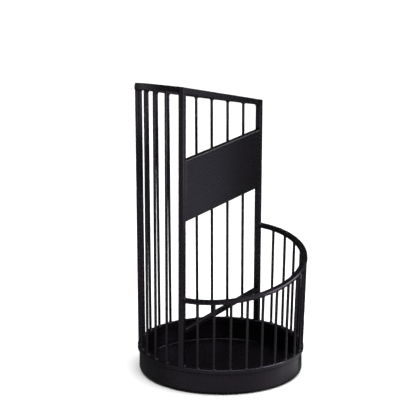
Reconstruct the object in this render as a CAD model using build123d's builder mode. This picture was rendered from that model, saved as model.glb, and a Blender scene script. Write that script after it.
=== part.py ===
from build123d import *
from math import cos, radians, sin, tan
import os

# A round umbrella stand of welded steel. A partition across the middle parts a tall cage of rods
# from a low one, and all of it stands on a shallow water pan.
# Lengths are in millimetres and angles in degrees. The floor is z = 0 and the pan's axis is the
# Z axis. The partition stands along X, with the tall cage on its +Y side and the low one on -Y.

# Square foot pads under the pan
pad_size = 24.0
pad_height = 2.0
pad_count = 4
pad_edge_distance = 32.0  # from the pan's outer wall in to the middle of a pad

# Water pan, pressed from sheet
pan_radius = 144.5
pan_height = 36.0
pan_wall = 1.5
pan_corner_radius = 4.0
pan_inner_bevel = 1.5  # where the wall meets the floor inside

# Flat bar ring on the rim of the pan
ring_overhang = 3.0  # past the pan's outer wall
ring_width = 12.0
ring_height = 8.0
ring_edge_bevel = 0.8  # on its outer upper edge
ring_seam_bevel = 1.4  # on its outer lower edge, over the pan's rim

# Square tube of the posts and the top rail
tube_size = 10.0
tube_wall = 1.0
tube_corner_radius = 1.2

# Partition
top_height = 497.4  # upper face of the top rail, at the middle
top_slope = 14.1  # the top rail falls towards the rear post
window_height = 45.4  # least clear height between top rail and panel, at the rear post
panel_height = 105.6
panel_sheet = 1.2
panel_fold_radius = 1.5
lower_rail_gap = 57.0  # clear height between bottom ring and lower rail
lower_rail_size = 8.0

# Half rings that the rods reach up to
head_flare = 4.5  # how much larger their radius is than the bottom ring's
top_arc_bevel = 0.8  # on its upper edges
low_ring_rise = 151.6  # middle of the low ring over the bottom ring, at the Z axis
low_ring_slope = 12.6  # it climbs towards the rear post
low_ring_dip = 1.7  # and dips away from the partition
low_ring_width = 12.0
low_ring_thickness = 5.0
low_ring_bevel = 1.6  # on its upper edges

# Rods of both cages
rod_diameter = 5.0
rod_count = 15  # on each side of the partition
rod_first_angle = 12.0  # from a post round to the nearest rod
rod_head_edge = 1.0  # from the outer edge of a half ring in to a rod

# Heights and radii that follow from the sizes above
rim_height = pad_height + pan_height
foot_height = rim_height + ring_height
ring_radius = pan_radius + ring_overhang
head_radius = ring_radius + head_flare
post_x = ring_radius - ring_edge_bevel - tube_size / 2
post_inner_x = post_x - tube_size / 2
rod_foot_radius = ring_radius - ring_edge_bevel - rod_diameter / 2
rod_head_radius = head_radius - rod_head_edge - rod_diameter / 2
rail_middle_height = top_height - tube_size / 2 / cos(radians(top_slope))
rail_vertical_size = tube_size / cos(radians(top_slope))
panel_top = top_height - rail_vertical_size - post_inner_x * tan(radians(top_slope)) - window_height
lower_rail_height = foot_height + lower_rail_gap + lower_rail_size / 2

# Planes that several pieces share
foot_plane = Plane.XY.offset(foot_height)
top_plane = Plane.XY.offset(rail_middle_height).rotated((0, top_slope, 0))
low_plane = Plane.XY.offset(foot_height + low_ring_rise).rotated((low_ring_dip, -low_ring_slope, 0))
tall_face = Plane((0, tube_size / 2, 0), z_dir=(0, 1, 0))
low_face = Plane((0, -tube_size / 2, 0), z_dir=(0, -1, 0))


def height_on(plane, x, y):
    """Height of a sloping plane above the point x, y."""
    normal = plane.z_dir
    drop = normal.X * (x - plane.origin.X) + normal.Y * (y - plane.origin.Y)
    return plane.origin.Z - drop / normal.Z


def write(builder, name):
    """Label a finished piece and write its file."""
    builder.part.label = name
    export_step(builder.part, f"parts/{name}.step")


os.makedirs("parts", exist_ok=True)

# Foot pads, one node of separate squares
with BuildPart() as foot_pads:
    with BuildSketch(Plane.XY):
        with PolarLocations(pan_radius - pad_edge_distance, pad_count, start_angle=360 / pad_count / 2):
            Rectangle(pad_size, pad_size)
    extrude(amount=pad_height)
write(foot_pads, "foot_pads")

# Room inside the water pan, beveled where its wall meets the floor
with BuildPart() as pan_room:
    with BuildSketch(Plane.XY.offset(pad_height + pan_wall)):
        Circle(pan_radius - pan_wall)
    extrude(amount=pan_height - pan_wall)
    chamfer(pan_room.edges().sort_by(Axis.Z)[0], length=pan_inner_bevel)

# Water pan: a drum with a rounded bottom edge, hollowed out by that room
with BuildPart() as base_pan:
    with BuildSketch(Plane.XY.offset(pad_height)):
        Circle(pan_radius)
    extrude(amount=pan_height)
    fillet(base_pan.edges().sort_by(Axis.Z)[0], radius=pan_corner_radius)
    add(pan_room.part, mode=Mode.SUBTRACT)
write(base_pan, "base_pan")

# Bottom ring, flat on the pan's rim
with BuildPart() as bottom_ring:
    with BuildSketch(Plane.XY.offset(rim_height)):
        Circle(ring_radius)
        Circle(ring_radius - ring_width, mode=Mode.SUBTRACT)
    extrude(amount=ring_height)
    outer_edges = bottom_ring.edges().filter_by(GeomType.CIRCLE).group_by(SortBy.RADIUS)[-1].sort_by(Axis.Z)
    chamfer(outer_edges[0], length=ring_seam_bevel)
    chamfer(outer_edges[-1], length=ring_edge_bevel)
write(bottom_ring, "bottom_ring")


def square_tube(size):
    """Section of a square tube with rounded corners, for the sketch that is open."""
    RectangleRounded(size, size, tube_corner_radius)
    Rectangle(size - 2 * tube_wall, size - 2 * tube_wall, mode=Mode.SUBTRACT)


# Mitre planes at the two top corners of the partition, facing the post
rail_direction = top_plane.x_dir
post_direction = Vector(0, 0, -1)
front_corner = Vector(-post_x, 0, height_on(top_plane, -post_x, 0))
rear_corner = Vector(post_x, 0, height_on(top_plane, post_x, 0))
front_mitre = Plane(front_corner, z_dir=post_direction - rail_direction)
rear_mitre = Plane(rear_corner, z_dir=post_direction + rail_direction)

# Posts, cut along the mitres
for name, corner, mitre in (
    ("front_post", front_corner, front_mitre),
    ("rear_post", rear_corner, rear_mitre),
):
    with BuildPart() as post:
        with BuildSketch(Plane((corner.X, 0, foot_height))):
            square_tube(tube_size)
        extrude(amount=corner.Z - foot_height + tube_size)
        split(bisect_by=mitre, keep=Keep.TOP)
    write(post, name)

# Top rail, cut along the same mitres
with BuildPart() as top_rail:
    with BuildSketch(Plane(top_plane.origin, x_dir=(0, 1, 0), z_dir=rail_direction)):
        square_tube(tube_size)
    extrude(amount=(rear_corner - front_corner).length / 2 + tube_size, both=True)
    split(bisect_by=front_mitre, keep=Keep.BOTTOM)
    split(bisect_by=rear_mitre, keep=Keep.BOTTOM)
write(top_rail, "top_rail")

# Lower rail, between the inner faces of the posts
with BuildPart() as lower_rail:
    with BuildSketch(Plane((0, 0, lower_rail_height), x_dir=(0, 1, 0), z_dir=(1, 0, 0))):
        square_tube(lower_rail_size)
    extrude(amount=post_inner_x, both=True)
write(lower_rail, "lower_rail")

# Panel: a sheet folded back on four edges, as deep as the posts and open at the back
with BuildPart() as panel:
    with BuildSketch(Plane.XZ.offset(-tube_size / 2)):
        with Locations((0, panel_top - panel_height / 2)):
            Rectangle(2 * post_inner_x, panel_height)
    extrude(amount=tube_size)
    front_face = panel.faces().sort_by(Axis.Y)[0]
    fillet(front_face.edges(), radius=panel_fold_radius)
    offset(amount=-panel_sheet, openings=panel.faces().sort_by(Axis.Y)[-1])
write(panel, "panel")


def half_ring(plane, width, thickness, bevel, cut):
    """Bar bent to a half circle in a sloping plane, cut off at one face of the partition."""
    with BuildPart() as bar:
        with BuildSketch(plane):
            Circle(head_radius)
            Circle(head_radius - width, mode=Mode.SUBTRACT)
        extrude(amount=thickness / 2, both=True)
        chamfer(bar.faces().sort_by(Axis(plane.origin, plane.z_dir))[-1].edges(), length=bevel)
        split(bisect_by=cut, keep=Keep.TOP)
    return bar


top_arc = half_ring(top_plane, tube_size, tube_size, top_arc_bevel, tall_face)
write(top_arc, "top_arc")
low_ring = half_ring(low_plane, low_ring_width, low_ring_thickness, low_ring_bevel, low_face)
write(low_ring, "low_ring")


def cage_rod(angle, side, head_plane):
    """Straight rod from the bottom ring out and up to the underside of a half ring.

    angle is counted from the front post, and side is 1 in the tall cage and -1 in the low one.
    """
    outward = Vector(-cos(radians(angle)), side * sin(radians(angle)), 0)
    foot = foot_plane.from_local_coords(outward * rod_foot_radius)
    head = head_plane.from_local_coords(outward * rod_head_radius)
    with BuildPart() as rod:
        with BuildSketch(Plane((foot + head) / 2, z_dir=head - foot)):
            Circle(rod_diameter / 2)
        extrude(amount=(head - foot).length / 2 + rod_diameter, both=True)
        split(bisect_by=foot_plane, keep=Keep.TOP)
        split(bisect_by=head_plane, keep=Keep.BOTTOM)
    return rod


# Rods of both cages, evenly spaced between the posts
rod_step = (180 - 2 * rod_first_angle) / (rod_count - 1)
arc_underside = top_plane.offset(-tube_size / 2)
low_ring_underside = low_plane.offset(-low_ring_thickness / 2)
for number in range(rod_count):
    rod_angle = rod_first_angle + number * rod_step
    write(cage_rod(rod_angle, 1, arc_underside), f"tall_rod_{number + 1:02}")
    write(cage_rod(rod_angle, -1, low_ring_underside), f"low_rod_{number + 1:02}")
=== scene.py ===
import math

import bmesh
import bpy
from mathutils import Matrix, Vector, noise


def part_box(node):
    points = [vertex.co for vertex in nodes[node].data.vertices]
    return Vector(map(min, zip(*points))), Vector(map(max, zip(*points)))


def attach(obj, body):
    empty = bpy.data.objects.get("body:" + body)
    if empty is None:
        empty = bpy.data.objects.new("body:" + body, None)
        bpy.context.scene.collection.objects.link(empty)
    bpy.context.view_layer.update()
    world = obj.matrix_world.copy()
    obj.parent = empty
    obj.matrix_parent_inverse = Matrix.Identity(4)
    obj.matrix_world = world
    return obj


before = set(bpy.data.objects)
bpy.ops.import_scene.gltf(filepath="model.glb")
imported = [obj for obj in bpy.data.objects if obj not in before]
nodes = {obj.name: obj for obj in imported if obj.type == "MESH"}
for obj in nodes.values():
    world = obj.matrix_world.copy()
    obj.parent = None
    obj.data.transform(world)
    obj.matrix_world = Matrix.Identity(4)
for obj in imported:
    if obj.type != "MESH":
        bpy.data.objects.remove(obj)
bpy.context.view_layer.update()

# The looks of a round umbrella stand of black coated steel: its coat, the rubber of its feet, the
# weld beads that are too small for the CAD model, and a studio with the photograph's camera.
# Lengths are in metres. The partition stands along X, with the tall cage on its +Y side.

scene = bpy.context.scene
UP = Vector((0.0, 0.0, 1.0))
NEAR = 1e-5  # points closer than this count as one place

# Camera, at the photograph's angle
CAMERA_PLACE = Vector((-2.7551, -1.4536, 1.1257))
CAMERA_FORWARD = Vector((0.84993, 0.46165, -0.25396))
CAMERA_UP = Vector((0.22144, 0.12438, 0.96721))
FOCAL_LENGTH = 166.17  # in millimetres, on a sensor this wide
SENSOR_WIDTH = 36.0
VIEW_LIMIT = 100.0

camera_data = bpy.data.cameras.new("camera")
camera_data.sensor_fit = "HORIZONTAL"
camera_data.sensor_width = SENSOR_WIDTH
camera_data.lens = FOCAL_LENGTH
camera_data.clip_end = VIEW_LIMIT
camera = bpy.data.objects.new("camera", camera_data)
camera_right = CAMERA_FORWARD.cross(CAMERA_UP)
camera_turn = Matrix((camera_right, CAMERA_UP, -CAMERA_FORWARD)).transposed()
camera.matrix_world = Matrix.Translation(CAMERA_PLACE) @ camera_turn.to_4x4()
scene.collection.objects.link(camera)
scene.camera = camera
scene.view_settings.view_transform = "Standard"


def new_material(name):
    """A node material with nothing but one shader, with its node tree and that shader."""
    material = bpy.data.materials.new(name)
    material.use_nodes = True
    tree = material.node_tree
    tree.nodes.clear()
    output = tree.nodes.new("ShaderNodeOutputMaterial")
    shader = tree.nodes.new("ShaderNodeBsdfPrincipled")
    tree.links.new(shader.outputs["BSDF"], output.inputs["Surface"])
    return material, tree, shader


def object_coords(tree):
    """Coordinates that stay with the piece."""
    return tree.nodes.new("ShaderNodeTexCoord").outputs["Object"]


def noise_node(tree, coords, scale, detail, roughness=0.5):
    """Value of a noise texture."""
    node = tree.nodes.new("ShaderNodeTexNoise")
    node.inputs["Scale"].default_value = scale
    node.inputs["Detail"].default_value = detail
    node.inputs["Roughness"].default_value = roughness
    tree.links.new(coords, node.inputs["Vector"])
    return node.outputs["Fac"]


def ramp_node(tree, value, places, colours):
    """Colour of a ramp that has one colour at each place from 0 to 1."""
    node = tree.nodes.new("ShaderNodeValToRGB")
    ramp = node.color_ramp
    while len(ramp.elements) < len(places):
        ramp.elements.new(0.5)
    for element, place, colour in zip(ramp.elements, places, colours):
        element.position = place
        element.color = (*colour, 1.0)
    tree.links.new(value, node.inputs["Fac"])
    return node.outputs["Color"]


def map_range(tree, value, old, new, smooth=True):
    """Carry a value from one range to another, whose ends may be numbers or other values."""
    node = tree.nodes.new("ShaderNodeMapRange")
    node.interpolation_type = "SMOOTHSTEP" if smooth else "LINEAR"
    tree.links.new(value, node.inputs["Value"])
    for socket, end in zip(("From Min", "From Max", "To Min", "To Max"), (*old, *new)):
        if isinstance(end, (int, float)):
            node.inputs[socket].default_value = end
        else:
            tree.links.new(end, node.inputs[socket])
    return node.outputs["Result"]


def add_bump(tree, shader, height, strength, depth):
    """Ripple the shader's surface by a value."""
    node = tree.nodes.new("ShaderNodeBump")
    node.inputs["Strength"].default_value = strength
    node.inputs["Distance"].default_value = depth
    tree.links.new(height, node.inputs["Height"])
    tree.links.new(node.outputs["Normal"], shader.inputs["Normal"])


def grey(value):
    return (value, value, value)


def greys(values):
    return [grey(value) for value in values]


# Range of a noise texture's values that a ramp turns into tones
NOISE_SPAN = (0.3, 0.7)

# Powder coat: scales of its three textures, its peel, its colours, and the painted shade that dulls
# its shine in crevices
TONE_SCALE = 14.0
GLOSS_SCALE = 420.0
GLOSS_SPAN = (0.25, 0.75)
PEEL_SCALE = 900.0
PEEL_STRENGTH = 0.04
PEEL_DEPTH = 0.0004
COAT_DARK = (0.0015, 0.0013, 0.0016)
COAT_LIGHT = (0.0024, 0.0021, 0.0026)
# Painted purple cast on the coat's reflections, standing in for the colour of what they mirror
PAINTED_REFLECTION_TINT = (0.91, 0.76, 1.0, 1.0)  # of its reflections
COAT_ROUGHNESS = (0.22, 0.32)
COAT_SHINE = 0.46
# Painted shade: ambient occlusion cuts the coat's shine in crevices, corners and seams, where shade
# falls
SHADE_REACH = 0.008  # how far off a face still makes a crevice
SHADE_SAMPLES = 8
SHADED_SHINE = 0.05  # share of the shine that is left deep in a crevice
COAT_SHADE_OPENNESS = (0.60, 0.98)  # of a place where the shine is least, and where it is full
FOLD_SHADE_OPENNESS = (0.10, 0.50)  # the same on folds and beads, which shine in their corners


def powder_coat(name, roughness, shine, shade_openness):
    """Satin black powder coat: fine orange peel, a faint drift of tone and gloss, and painted shade
    that dulls its shine in crevices.
    """
    material, tree, shader = new_material(name)
    coords = object_coords(tree)
    drift = noise_node(tree, coords, TONE_SCALE, detail=3.0)
    tone = ramp_node(tree, drift, NOISE_SPAN, (COAT_DARK, COAT_LIGHT))
    tree.links.new(tone, shader.inputs["Base Color"])
    mottle = noise_node(tree, coords, GLOSS_SCALE, detail=3.0)
    gloss = ramp_node(tree, mottle, GLOSS_SPAN, greys(roughness))
    tree.links.new(gloss, shader.inputs["Roughness"])
    peel = noise_node(tree, coords, PEEL_SCALE, detail=4.0, roughness=0.6)
    add_bump(tree, shader, peel, PEEL_STRENGTH, PEEL_DEPTH)
    # Painted shade: the shine drops where ambient occlusion finds faces close by
    crevice_shade = tree.nodes.new("ShaderNodeAmbientOcclusion")
    crevice_shade.samples = SHADE_SAMPLES
    crevice_shade.inputs["Distance"].default_value = SHADE_REACH
    level = map_range(tree, crevice_shade.outputs["AO"], shade_openness, (SHADED_SHINE * shine, shine))
    tree.links.new(level, shader.inputs["Specular IOR Level"])
    # Painted purple tint of the reflections
    shader.inputs["Specular Tint"].default_value = PAINTED_REFLECTION_TINT
    return material


# Rubber of the foot pads
GRAIN_SCALE = 600.0
GRAIN_STRENGTH = 0.3
GRAIN_DEPTH = 0.0003
RUBBER_TONES = (0.012, 0.022)
RUBBER_ROUGHNESS = 0.85


def rubber(name):
    """Matt rubber with a fine grain."""
    material, tree, shader = new_material(name)
    grain = noise_node(tree, object_coords(tree), GRAIN_SCALE, detail=4.0)
    tone = ramp_node(tree, grain, NOISE_SPAN, greys(RUBBER_TONES))
    tree.links.new(tone, shader.inputs["Base Color"])
    add_bump(tree, shader, grain, GRAIN_STRENGTH, GRAIN_DEPTH)
    shader.inputs["Roughness"].default_value = RUBBER_ROUGHNESS
    return material


coat = powder_coat("powder_coat", COAT_ROUGHNESS, COAT_SHINE, COAT_SHADE_OPENNESS)
panel_coat = powder_coat("panel_coat", COAT_ROUGHNESS, COAT_SHINE, FOLD_SHADE_OPENNESS)
pad_rubber = rubber("pad_rubber")
for name, node in nodes.items():
    node.data.materials.clear()
    node.data.materials.append({"foot_pads": pad_rubber, "panel": panel_coat}.get(name, coat))

# Weld beads that hold the frame together, under the same coat, which is glossier on them
WELD_ROUGHNESS = (0.16, 0.24)
WELD_SHINE = 0.64
weld_coat = powder_coat("weld_coat", WELD_ROUGHNESS, WELD_SHINE, FOLD_SHADE_OPENNESS)
SINK = 0.0003  # how far a bead reaches into the metal on both sides
ARC_STEPS = 4  # of a bead's rounded face

# Beads along a corner
RUN_STEP = 0.0004
RUN_LEAST_STEPS = 10
TAPER_LEAST = 0.35  # share of its size that a bead has at its ends
TAPER_LENGTH = 0.0015  # over which a bead would gain its whole size
RIPPLE_PITCH = 0.0017
RIPPLE_DEPTH = 0.09
WOBBLE_SCALE = 400.0
WOBBLE = 0.25
NOISE_ROW, NOISE_LEVEL = 7.31, 0.37  # where in the noise each seed reads

# Beads round a rod
ROD_RADIUS = 0.0025
COLLAR_STEPS = 20
COLLAR_SINK = 3 * SINK
COLLAR_DRIFT = 0.22
COLLAR_NOISE_RADIUS = 1.6
COLLAR_NOISE_LEVEL = 3.7
LEG_EASE = 0.6  # how soon a collar's leg grows, from the outer side of the ring to the inner one


def close_rings(rings, loop):
    """Faces of a sweep through rings of equal length: joined end to end, or shut by two caps."""
    count, size = len(rings), len(rings[0])
    faces = []
    for i in range(count if loop else count - 1):
        j = (i + 1) % count
        for a in range(size):
            b = (a + 1) % size
            faces.append((i * size + a, i * size + b, j * size + b, j * size + a))
    if not loop:
        faces.append(tuple(reversed(range(size))))
        faces.append(tuple((count - 1) * size + a for a in range(size)))
    return [point for ring in rings for point in ring], faces


def bead_run(start, end, first, second, legs, seed):
    """A rippled bead along the corner between two faces, tapered at both ends.

    first and second point away from the corner along the two faces, and legs are its reach on each.
    """
    length = (end - start).length
    count = max(RUN_LEAST_STEPS, round(length / RUN_STEP))
    rings = []
    for i in range(count + 1):
        along = i / count * length
        taper = min(1.0, TAPER_LEAST + min(along, length - along) / TAPER_LENGTH)
        ripple = 1.0 + RIPPLE_DEPTH * math.sin(2 * math.pi * along / RIPPLE_PITCH + seed)
        spot = Vector((along * WOBBLE_SCALE, seed * NOISE_ROW, NOISE_LEVEL))
        size = taper * ripple * (1.0 + WOBBLE * noise.noise(spot))
        corner = start.lerp(end, i / count)
        a, b = first * legs[0] * size, second * legs[1] * size
        ring = [corner + a - second * SINK]
        for step in range(ARC_STEPS + 1):
            angle = math.pi / 2 * step / ARC_STEPS
            ring.append(corner + a * math.cos(angle) + b * math.sin(angle))
        ring += [corner + b - first * SINK, corner - (first + second) * SINK]
        rings.append(ring)
    return close_rings(rings, loop=False)


def bead_collar(centre, axis, normal, outward, legs, rise, seed):
    """A bead round the end of a rod that meets a flat face.

    legs are its reach on the outer side of the ring and on the inner one, and rise is its height.
    """
    outward = (outward - normal * outward.dot(normal)).normalized()
    sideways = normal.cross(outward)
    lean = axis / axis.dot(normal)
    rings = []
    for i in range(COLLAR_STEPS):
        angle = 2 * math.pi * i / COLLAR_STEPS
        across, aside = math.cos(angle), math.sin(angle)
        way = outward * across + sideways * aside
        edge = ROD_RADIUS / math.sqrt(1.0 - way.dot(axis) ** 2)
        spot = Vector((
            across * COLLAR_NOISE_RADIUS,
            aside * COLLAR_NOISE_RADIUS,
            seed * COLLAR_NOISE_LEVEL,
        ))
        drift = 1.0 + COLLAR_DRIFT * noise.noise(spot)
        leg = (legs[0] + (legs[1] - legs[0]) * (0.5 - 0.5 * across) ** LEG_EASE) * drift
        height = rise * (2.0 - drift)
        low, high = centre - lean * COLLAR_SINK, centre + lean * height
        ring = [low + way * (edge + leg)]
        for step in range(ARC_STEPS + 1):
            turn = math.pi / 2 * step / ARC_STEPS
            reach = edge + leg * math.cos(turn)
            ring.append(centre + lean * height * math.sin(turn) + way * reach)
        ring += [high + way * (edge - SINK), low + way * (edge - SINK)]
        rings.append(ring)
    return close_rings(rings, loop=True)


def weld_piece(name, beads):
    """One piece of several closed beads, in the coat's slot."""
    vertices, faces = [], []
    for bead_vertices, bead_faces in beads:
        faces += [tuple(len(vertices) + index for index in face) for face in bead_faces]
        vertices += bead_vertices
    mesh = bpy.data.meshes.new(name)
    mesh.from_pydata(vertices, [], faces)
    form = bmesh.new()
    form.from_mesh(mesh)
    bmesh.ops.recalc_face_normals(form, faces=form.faces)
    for face in form.faces:
        face.smooth = True
    form.to_mesh(mesh)
    form.free()
    mesh.materials.append(weld_coat)
    piece = bpy.data.objects.new(name, mesh)
    scene.collection.objects.link(piece)
    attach(piece, "root")


def middle(points):
    """Middle of the box round some points."""
    return Vector([(min(p[k] for p in points) + max(p[k] for p in points)) / 2 for k in range(3)])


def rod_ends(node):
    """Middle of a rod's foot, middle of its head, and the upward normal of its head."""
    mesh, place = node.data, node.matrix_world
    points = [place @ vertex.co for vertex in mesh.vertices]
    foot_level = min(point.z for point in points)
    head = {index for index, point in enumerate(points) if point.z >= foot_level + NEAR}
    foot_points = [point for index, point in enumerate(points) if index not in head]
    head_points = [point for index, point in enumerate(points) if index in head]
    head_facets = [facet for facet in mesh.polygons if set(facet.vertices) <= head]
    facet = max(head_facets, key=lambda facet: facet.area)
    return middle(foot_points), middle(head_points), (place.to_3x3() @ facet.normal).normalized()


# Collars at the feet and the heads of the rods
FOOT_LEGS, FOOT_RISE = (0.0006, 0.0020), 0.0019
HEAD_LEGS, HEAD_RISE = (0.0006, 0.0018), 0.0017
HEAD_SEED = 50
foot_beads = []
head_beads = {"tall": [], "low": []}
rods = sorted(name for name in nodes if "_rod_" in name)
for number, name in enumerate(rods):
    foot, head, head_normal = rod_ends(nodes[name])
    axis = (head - foot).normalized()
    outward = Vector((foot.x, foot.y, 0.0)).normalized()
    foot_beads.append(bead_collar(foot, axis, UP, outward, FOOT_LEGS, FOOT_RISE, number))
    head_beads[name.split("_")[0]].append(
        bead_collar(head, -axis, -head_normal, outward, HEAD_LEGS, HEAD_RISE, number + HEAD_SEED)
    )

# Runs of weld at the feet of the posts, and at the ends of the lower rail
CORNER = 0.0012  # corner radius of the tube
POST_SIDE_LEGS, POST_INNER_LEGS = (0.0020, 0.0022), (0.0010, 0.0018)
RAIL_LEGS = (0.0016, 0.0008)
POST_SIDE_SEED, POST_INNER_SEED, RAIL_SEED = 100, 105, 130
SEED_STEP = 10
post_beads, rail_beads = [], []
ring_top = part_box("bottom_ring")[1][2]
rail_low, rail_high = (Vector(corner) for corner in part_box("lower_rail"))
for count, name in enumerate(("front_post", "rear_post")):
    low, high = (Vector(corner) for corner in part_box(name))
    inward = Vector((1.0, 0.0, 0.0)) if low.x < 0 else Vector((-1.0, 0.0, 0.0))
    inner = high.x if low.x < 0 else low.x
    for side in (-1.0, 1.0):
        post_face, rail_face = side * high.y, side * rail_high.y
        sideways = Vector((0.0, side, 0.0))
        seed = SEED_STEP * count + side
        post_beads.append(bead_run(
            Vector((low.x + CORNER, post_face, ring_top)),
            Vector((high.x - CORNER, post_face, ring_top)),
            sideways, UP, POST_SIDE_LEGS, POST_SIDE_SEED + seed,
        ))
        rail_beads.append(bead_run(
            Vector((inner, rail_face, rail_low.z + CORNER)),
            Vector((inner, rail_face, rail_high.z - CORNER)),
            inward, sideways, RAIL_LEGS, RAIL_SEED + seed,
        ))
    post_beads.append(bead_run(
        Vector((inner, low.y + CORNER, ring_top)), Vector((inner, high.y - CORNER, ring_top)),
        inward, UP, POST_INNER_LEGS, POST_INNER_SEED + SEED_STEP * count,
    ))

# Runs of weld where the two half rings end on the posts, below both and above the low one
HALF_RING_LEGS = (0.0018, 0.0018)
HALF_RING_SEED = 160
FACES_UP = 0.9  # least height of an upper facet's normal
post_low, post_high = (Vector(corner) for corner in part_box("front_post"))
post_reach = abs(post_low.x) - CORNER
end_beads = []
for count, (name, side) in enumerate((("low_ring", -1.0), ("top_arc", 1.0))):
    mesh, place = nodes[name].data, nodes[name].matrix_world
    upper_facets = [facet for facet in mesh.polygons if facet.normal.z > FACES_UP]
    normal = max(upper_facets, key=lambda facet: facet.area).normal.copy()
    face = side * post_high.y
    away = Vector((0.0, side, 0.0))
    away = (away - normal * away.dot(normal)).normalized()
    face_points = [place @ vertex.co for vertex in mesh.vertices]
    face_points = [point for point in face_points if abs(point.y - face) < NEAR]
    for end in (-1.0, 1.0):
        seed = HALF_RING_SEED + SEED_STEP * count + end
        points = [point for point in face_points if point.x * end > 0]
        heights = [point.dot(normal) for point in points]
        levels = [(min(heights), -UP)]
        if name == "low_ring":
            levels.append((max(heights), UP))
        for level, way in levels:
            row = [point for point, h in zip(points, heights) if abs(h - level) < NEAR]
            row.sort(key=lambda point: abs(point.x))
            near, far = row[0], row[-1]
            share = (post_reach - abs(near.x)) / (abs(far.x) - abs(near.x))
            far = near.lerp(far, min(1.0, share))
            end_beads.append(bead_run(near, far, away, way, HALF_RING_LEGS, seed))

weld_piece("post_foot_welds", post_beads)
weld_piece("lower_rail_welds", rail_beads)
weld_piece("half_ring_welds", end_beads)
weld_piece("rod_foot_welds", foot_beads)
weld_piece("tall_rod_head_welds", head_beads["tall"])
weld_piece("low_rod_head_welds", head_beads["low"])

# Floor, pale and wide enough to fill the picture. The coat doesn't mirror it.
FLOOR_HALF = 14.0
FLOOR_SCALE = 1.5
FLOOR_TONES = (0.86, 0.88)
FLOOR_ROUGHNESS = 0.7
FLOOR_SHINE = 0.2
floor_corners = ((-1, -1), (1, -1), (1, 1), (-1, 1))
floor_mesh = bpy.data.meshes.new("floor")
floor_mesh.from_pydata(
    [(x * FLOOR_HALF, y * FLOOR_HALF, 0.0) for x, y in floor_corners], [], [(0, 1, 2, 3)]
)
floor = bpy.data.objects.new("floor", floor_mesh)
scene.collection.objects.link(floor)
floor_material, floor_tree, floor_shader = new_material("pale_floor")
floor_drift = noise_node(floor_tree, object_coords(floor_tree), FLOOR_SCALE, detail=2.0)
floor_tone = ramp_node(floor_tree, floor_drift, NOISE_SPAN, greys(FLOOR_TONES))
floor_tree.links.new(floor_tone, floor_shader.inputs["Base Color"])
floor_shader.inputs["Roughness"].default_value = FLOOR_ROUGHNESS
floor_shader.inputs["Specular IOR Level"].default_value = FLOOR_SHINE
floor_mesh.materials.append(floor_material)
floor.visible_glossy = False

# Studio: walls that differ all round, dimmer higher up, under a bright ceiling
WALLS = [  # compass angle from +X towards +Y, and brightness
    (-180, 0.41), (-150, 0.37), (-102, 0.46), (-62, 0.74), (-46, 0.20), (-34, 0.04), (-14, 0.04),
    (4, 0.06), (28, 0.04), (74, 0.08), (116, 0.13), (155, 0.40), (180, 0.41),
]
UPPER_WALL = 0.15  # share of a wall's brightness that is left higher up
CEILING = 3.4
WALL_FADE = (0.12, 0.32)  # height of a direction where a wall begins to dim, and where it ends
CEILING_FADE = (0.86, 0.97)
world = bpy.data.worlds.new("studio")
world.use_nodes = True
scene.world = world
sky = world.node_tree
sky_parts = sky.nodes.new("ShaderNodeSeparateXYZ")
sky_way = sky.nodes.new("ShaderNodeTexCoord").outputs["Generated"]
sky.links.new(sky_way, sky_parts.inputs["Vector"])
compass = sky.nodes.new("ShaderNodeMath")
compass.operation = "ARCTAN2"
sky.links.new(sky_parts.outputs["Y"], compass.inputs[0])
sky.links.new(sky_parts.outputs["X"], compass.inputs[1])
circle = map_range(sky, compass.outputs["Value"], (-math.pi, math.pi), (0, 1), smooth=False)
wall_places = [(angle + 180) / 360 for angle, value in WALLS]
walls = ramp_node(sky, circle, wall_places, greys(value for angle, value in WALLS))
upper_walls = sky.nodes.new("ShaderNodeMath")
upper_walls.operation = "MULTIPLY"
upper_walls.inputs[1].default_value = UPPER_WALL
sky.links.new(walls, upper_walls.inputs[0])
room = map_range(sky, sky_parts.outputs["Z"], WALL_FADE, (walls, upper_walls.outputs["Value"]))
studio = map_range(sky, sky_parts.outputs["Z"], CEILING_FADE, (room, CEILING))
background = sky.nodes["Background"]
background.inputs["Color"].default_value = (1.0, 1.0, 1.0, 1.0)
sky.links.new(studio, background.inputs["Strength"])

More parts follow.
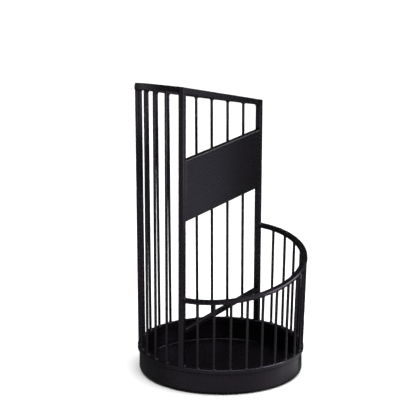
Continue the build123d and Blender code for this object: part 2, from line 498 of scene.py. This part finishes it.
# Softboxes: name, place, direction of the first side, both sides, power, target and colour
STAND_MIDDLE = (0.0, 0.0, 0.25)
WHITE = (1.0, 1.0, 1.0)
COOL_WHITE = (0.82, 0.86, 1.0)
SOFTBOXES = [
    # Large ones, above and to the right
    ("top_softbox", (0.3, -0.2, 3.2), (1, 0, 0), (2.6, 2.6), 20.0, STAND_MIDDLE, WHITE),
    ("right_softbox", (1.0, -2.6, 1.2), (0, 0, 1), (1.8, 1.4), 10.0, STAND_MIDDLE, WHITE),
    # For the upper edges of the low ring and the bottom ring
    ("strip_softbox", (0.742, -1.591, 1.887), (0.754, 0.193, -0.20), (1.9, 0.4), 22.0,
     STAND_MIDDLE, WHITE),
    # For the panel's upper fold and the lower rail, for the left part of the panel, the top rail
    # and the front post, and for the edges of that post and of the rods behind it
    ("panel_edge_light", (0.76, -0.232, 0.85), (0.3, 1.0, 0.0), (0.34, 0.26), 1.5,
     (0.0, 0.0, 0.42), WHITE),
    ("panel_softbox", (0.250, -0.300, 0.31), (0.475, 0.88, 0.0), (0.30, 0.34), 0.105,
     (-0.09, -0.12, 0.41), COOL_WHITE),
    ("edge_softbox", (-0.306, -0.314, 0.36), (0, 0, 1), (0.20, 0.29), 0.70,
     (-0.14, 0.0, 0.44), WHITE),
    # For the far left of the top arc
    ("arc_glow", (-0.3, 3.0, 0.55), (1, 0, 0), (2.4, 0.7), 1.4, STAND_MIDDLE, WHITE),
    # Under the floor, in place of the bright floor that the low rods and the pan would mirror
    ("rod_glow", (-0.60, -0.32, -0.035), (0.47, -0.88, 0.0), (0.5, 0.06), 0.12,
     (-0.1, -0.05, 0.09), WHITE),
    ("floor_glow", (0.145, -0.26, -0.032), (0.735, 0.678, 0.0), (0.22, 0.056), 0.0245,
     (0.0, -0.144, 0.02), WHITE),
]
for name, place, along, sides, power, target, colour in SOFTBOXES:
    light_data = bpy.data.lights.new(name, "AREA")
    light_data.shape = "RECTANGLE"
    light_data.size, light_data.size_y = sides
    light_data.energy = power
    light_data.color = colour
    light = bpy.data.objects.new(name, light_data)
    away = (Vector(place) - Vector(target)).normalized()
    across = (Vector(along) - away * away.dot(Vector(along))).normalized()
    light_turn = Matrix((across, away.cross(across), away)).transposed()
    light.matrix_world = Matrix.Translation(place) @ light_turn.to_4x4()
    light.visible_camera = False
    scene.collection.objects.link(light)

# Light from straight above, so soft that it hardly throws a shadow
OVERHEAD_POWER = 2.4
OVERHEAD_SPREAD = 90  # degrees
overhead_data = bpy.data.lights.new("overhead_light", "SUN")
overhead_data.energy = OVERHEAD_POWER
overhead_data.angle = math.radians(OVERHEAD_SPREAD)
overhead = bpy.data.objects.new("overhead_light", overhead_data)
overhead.visible_glossy = False
scene.collection.objects.link(overhead)
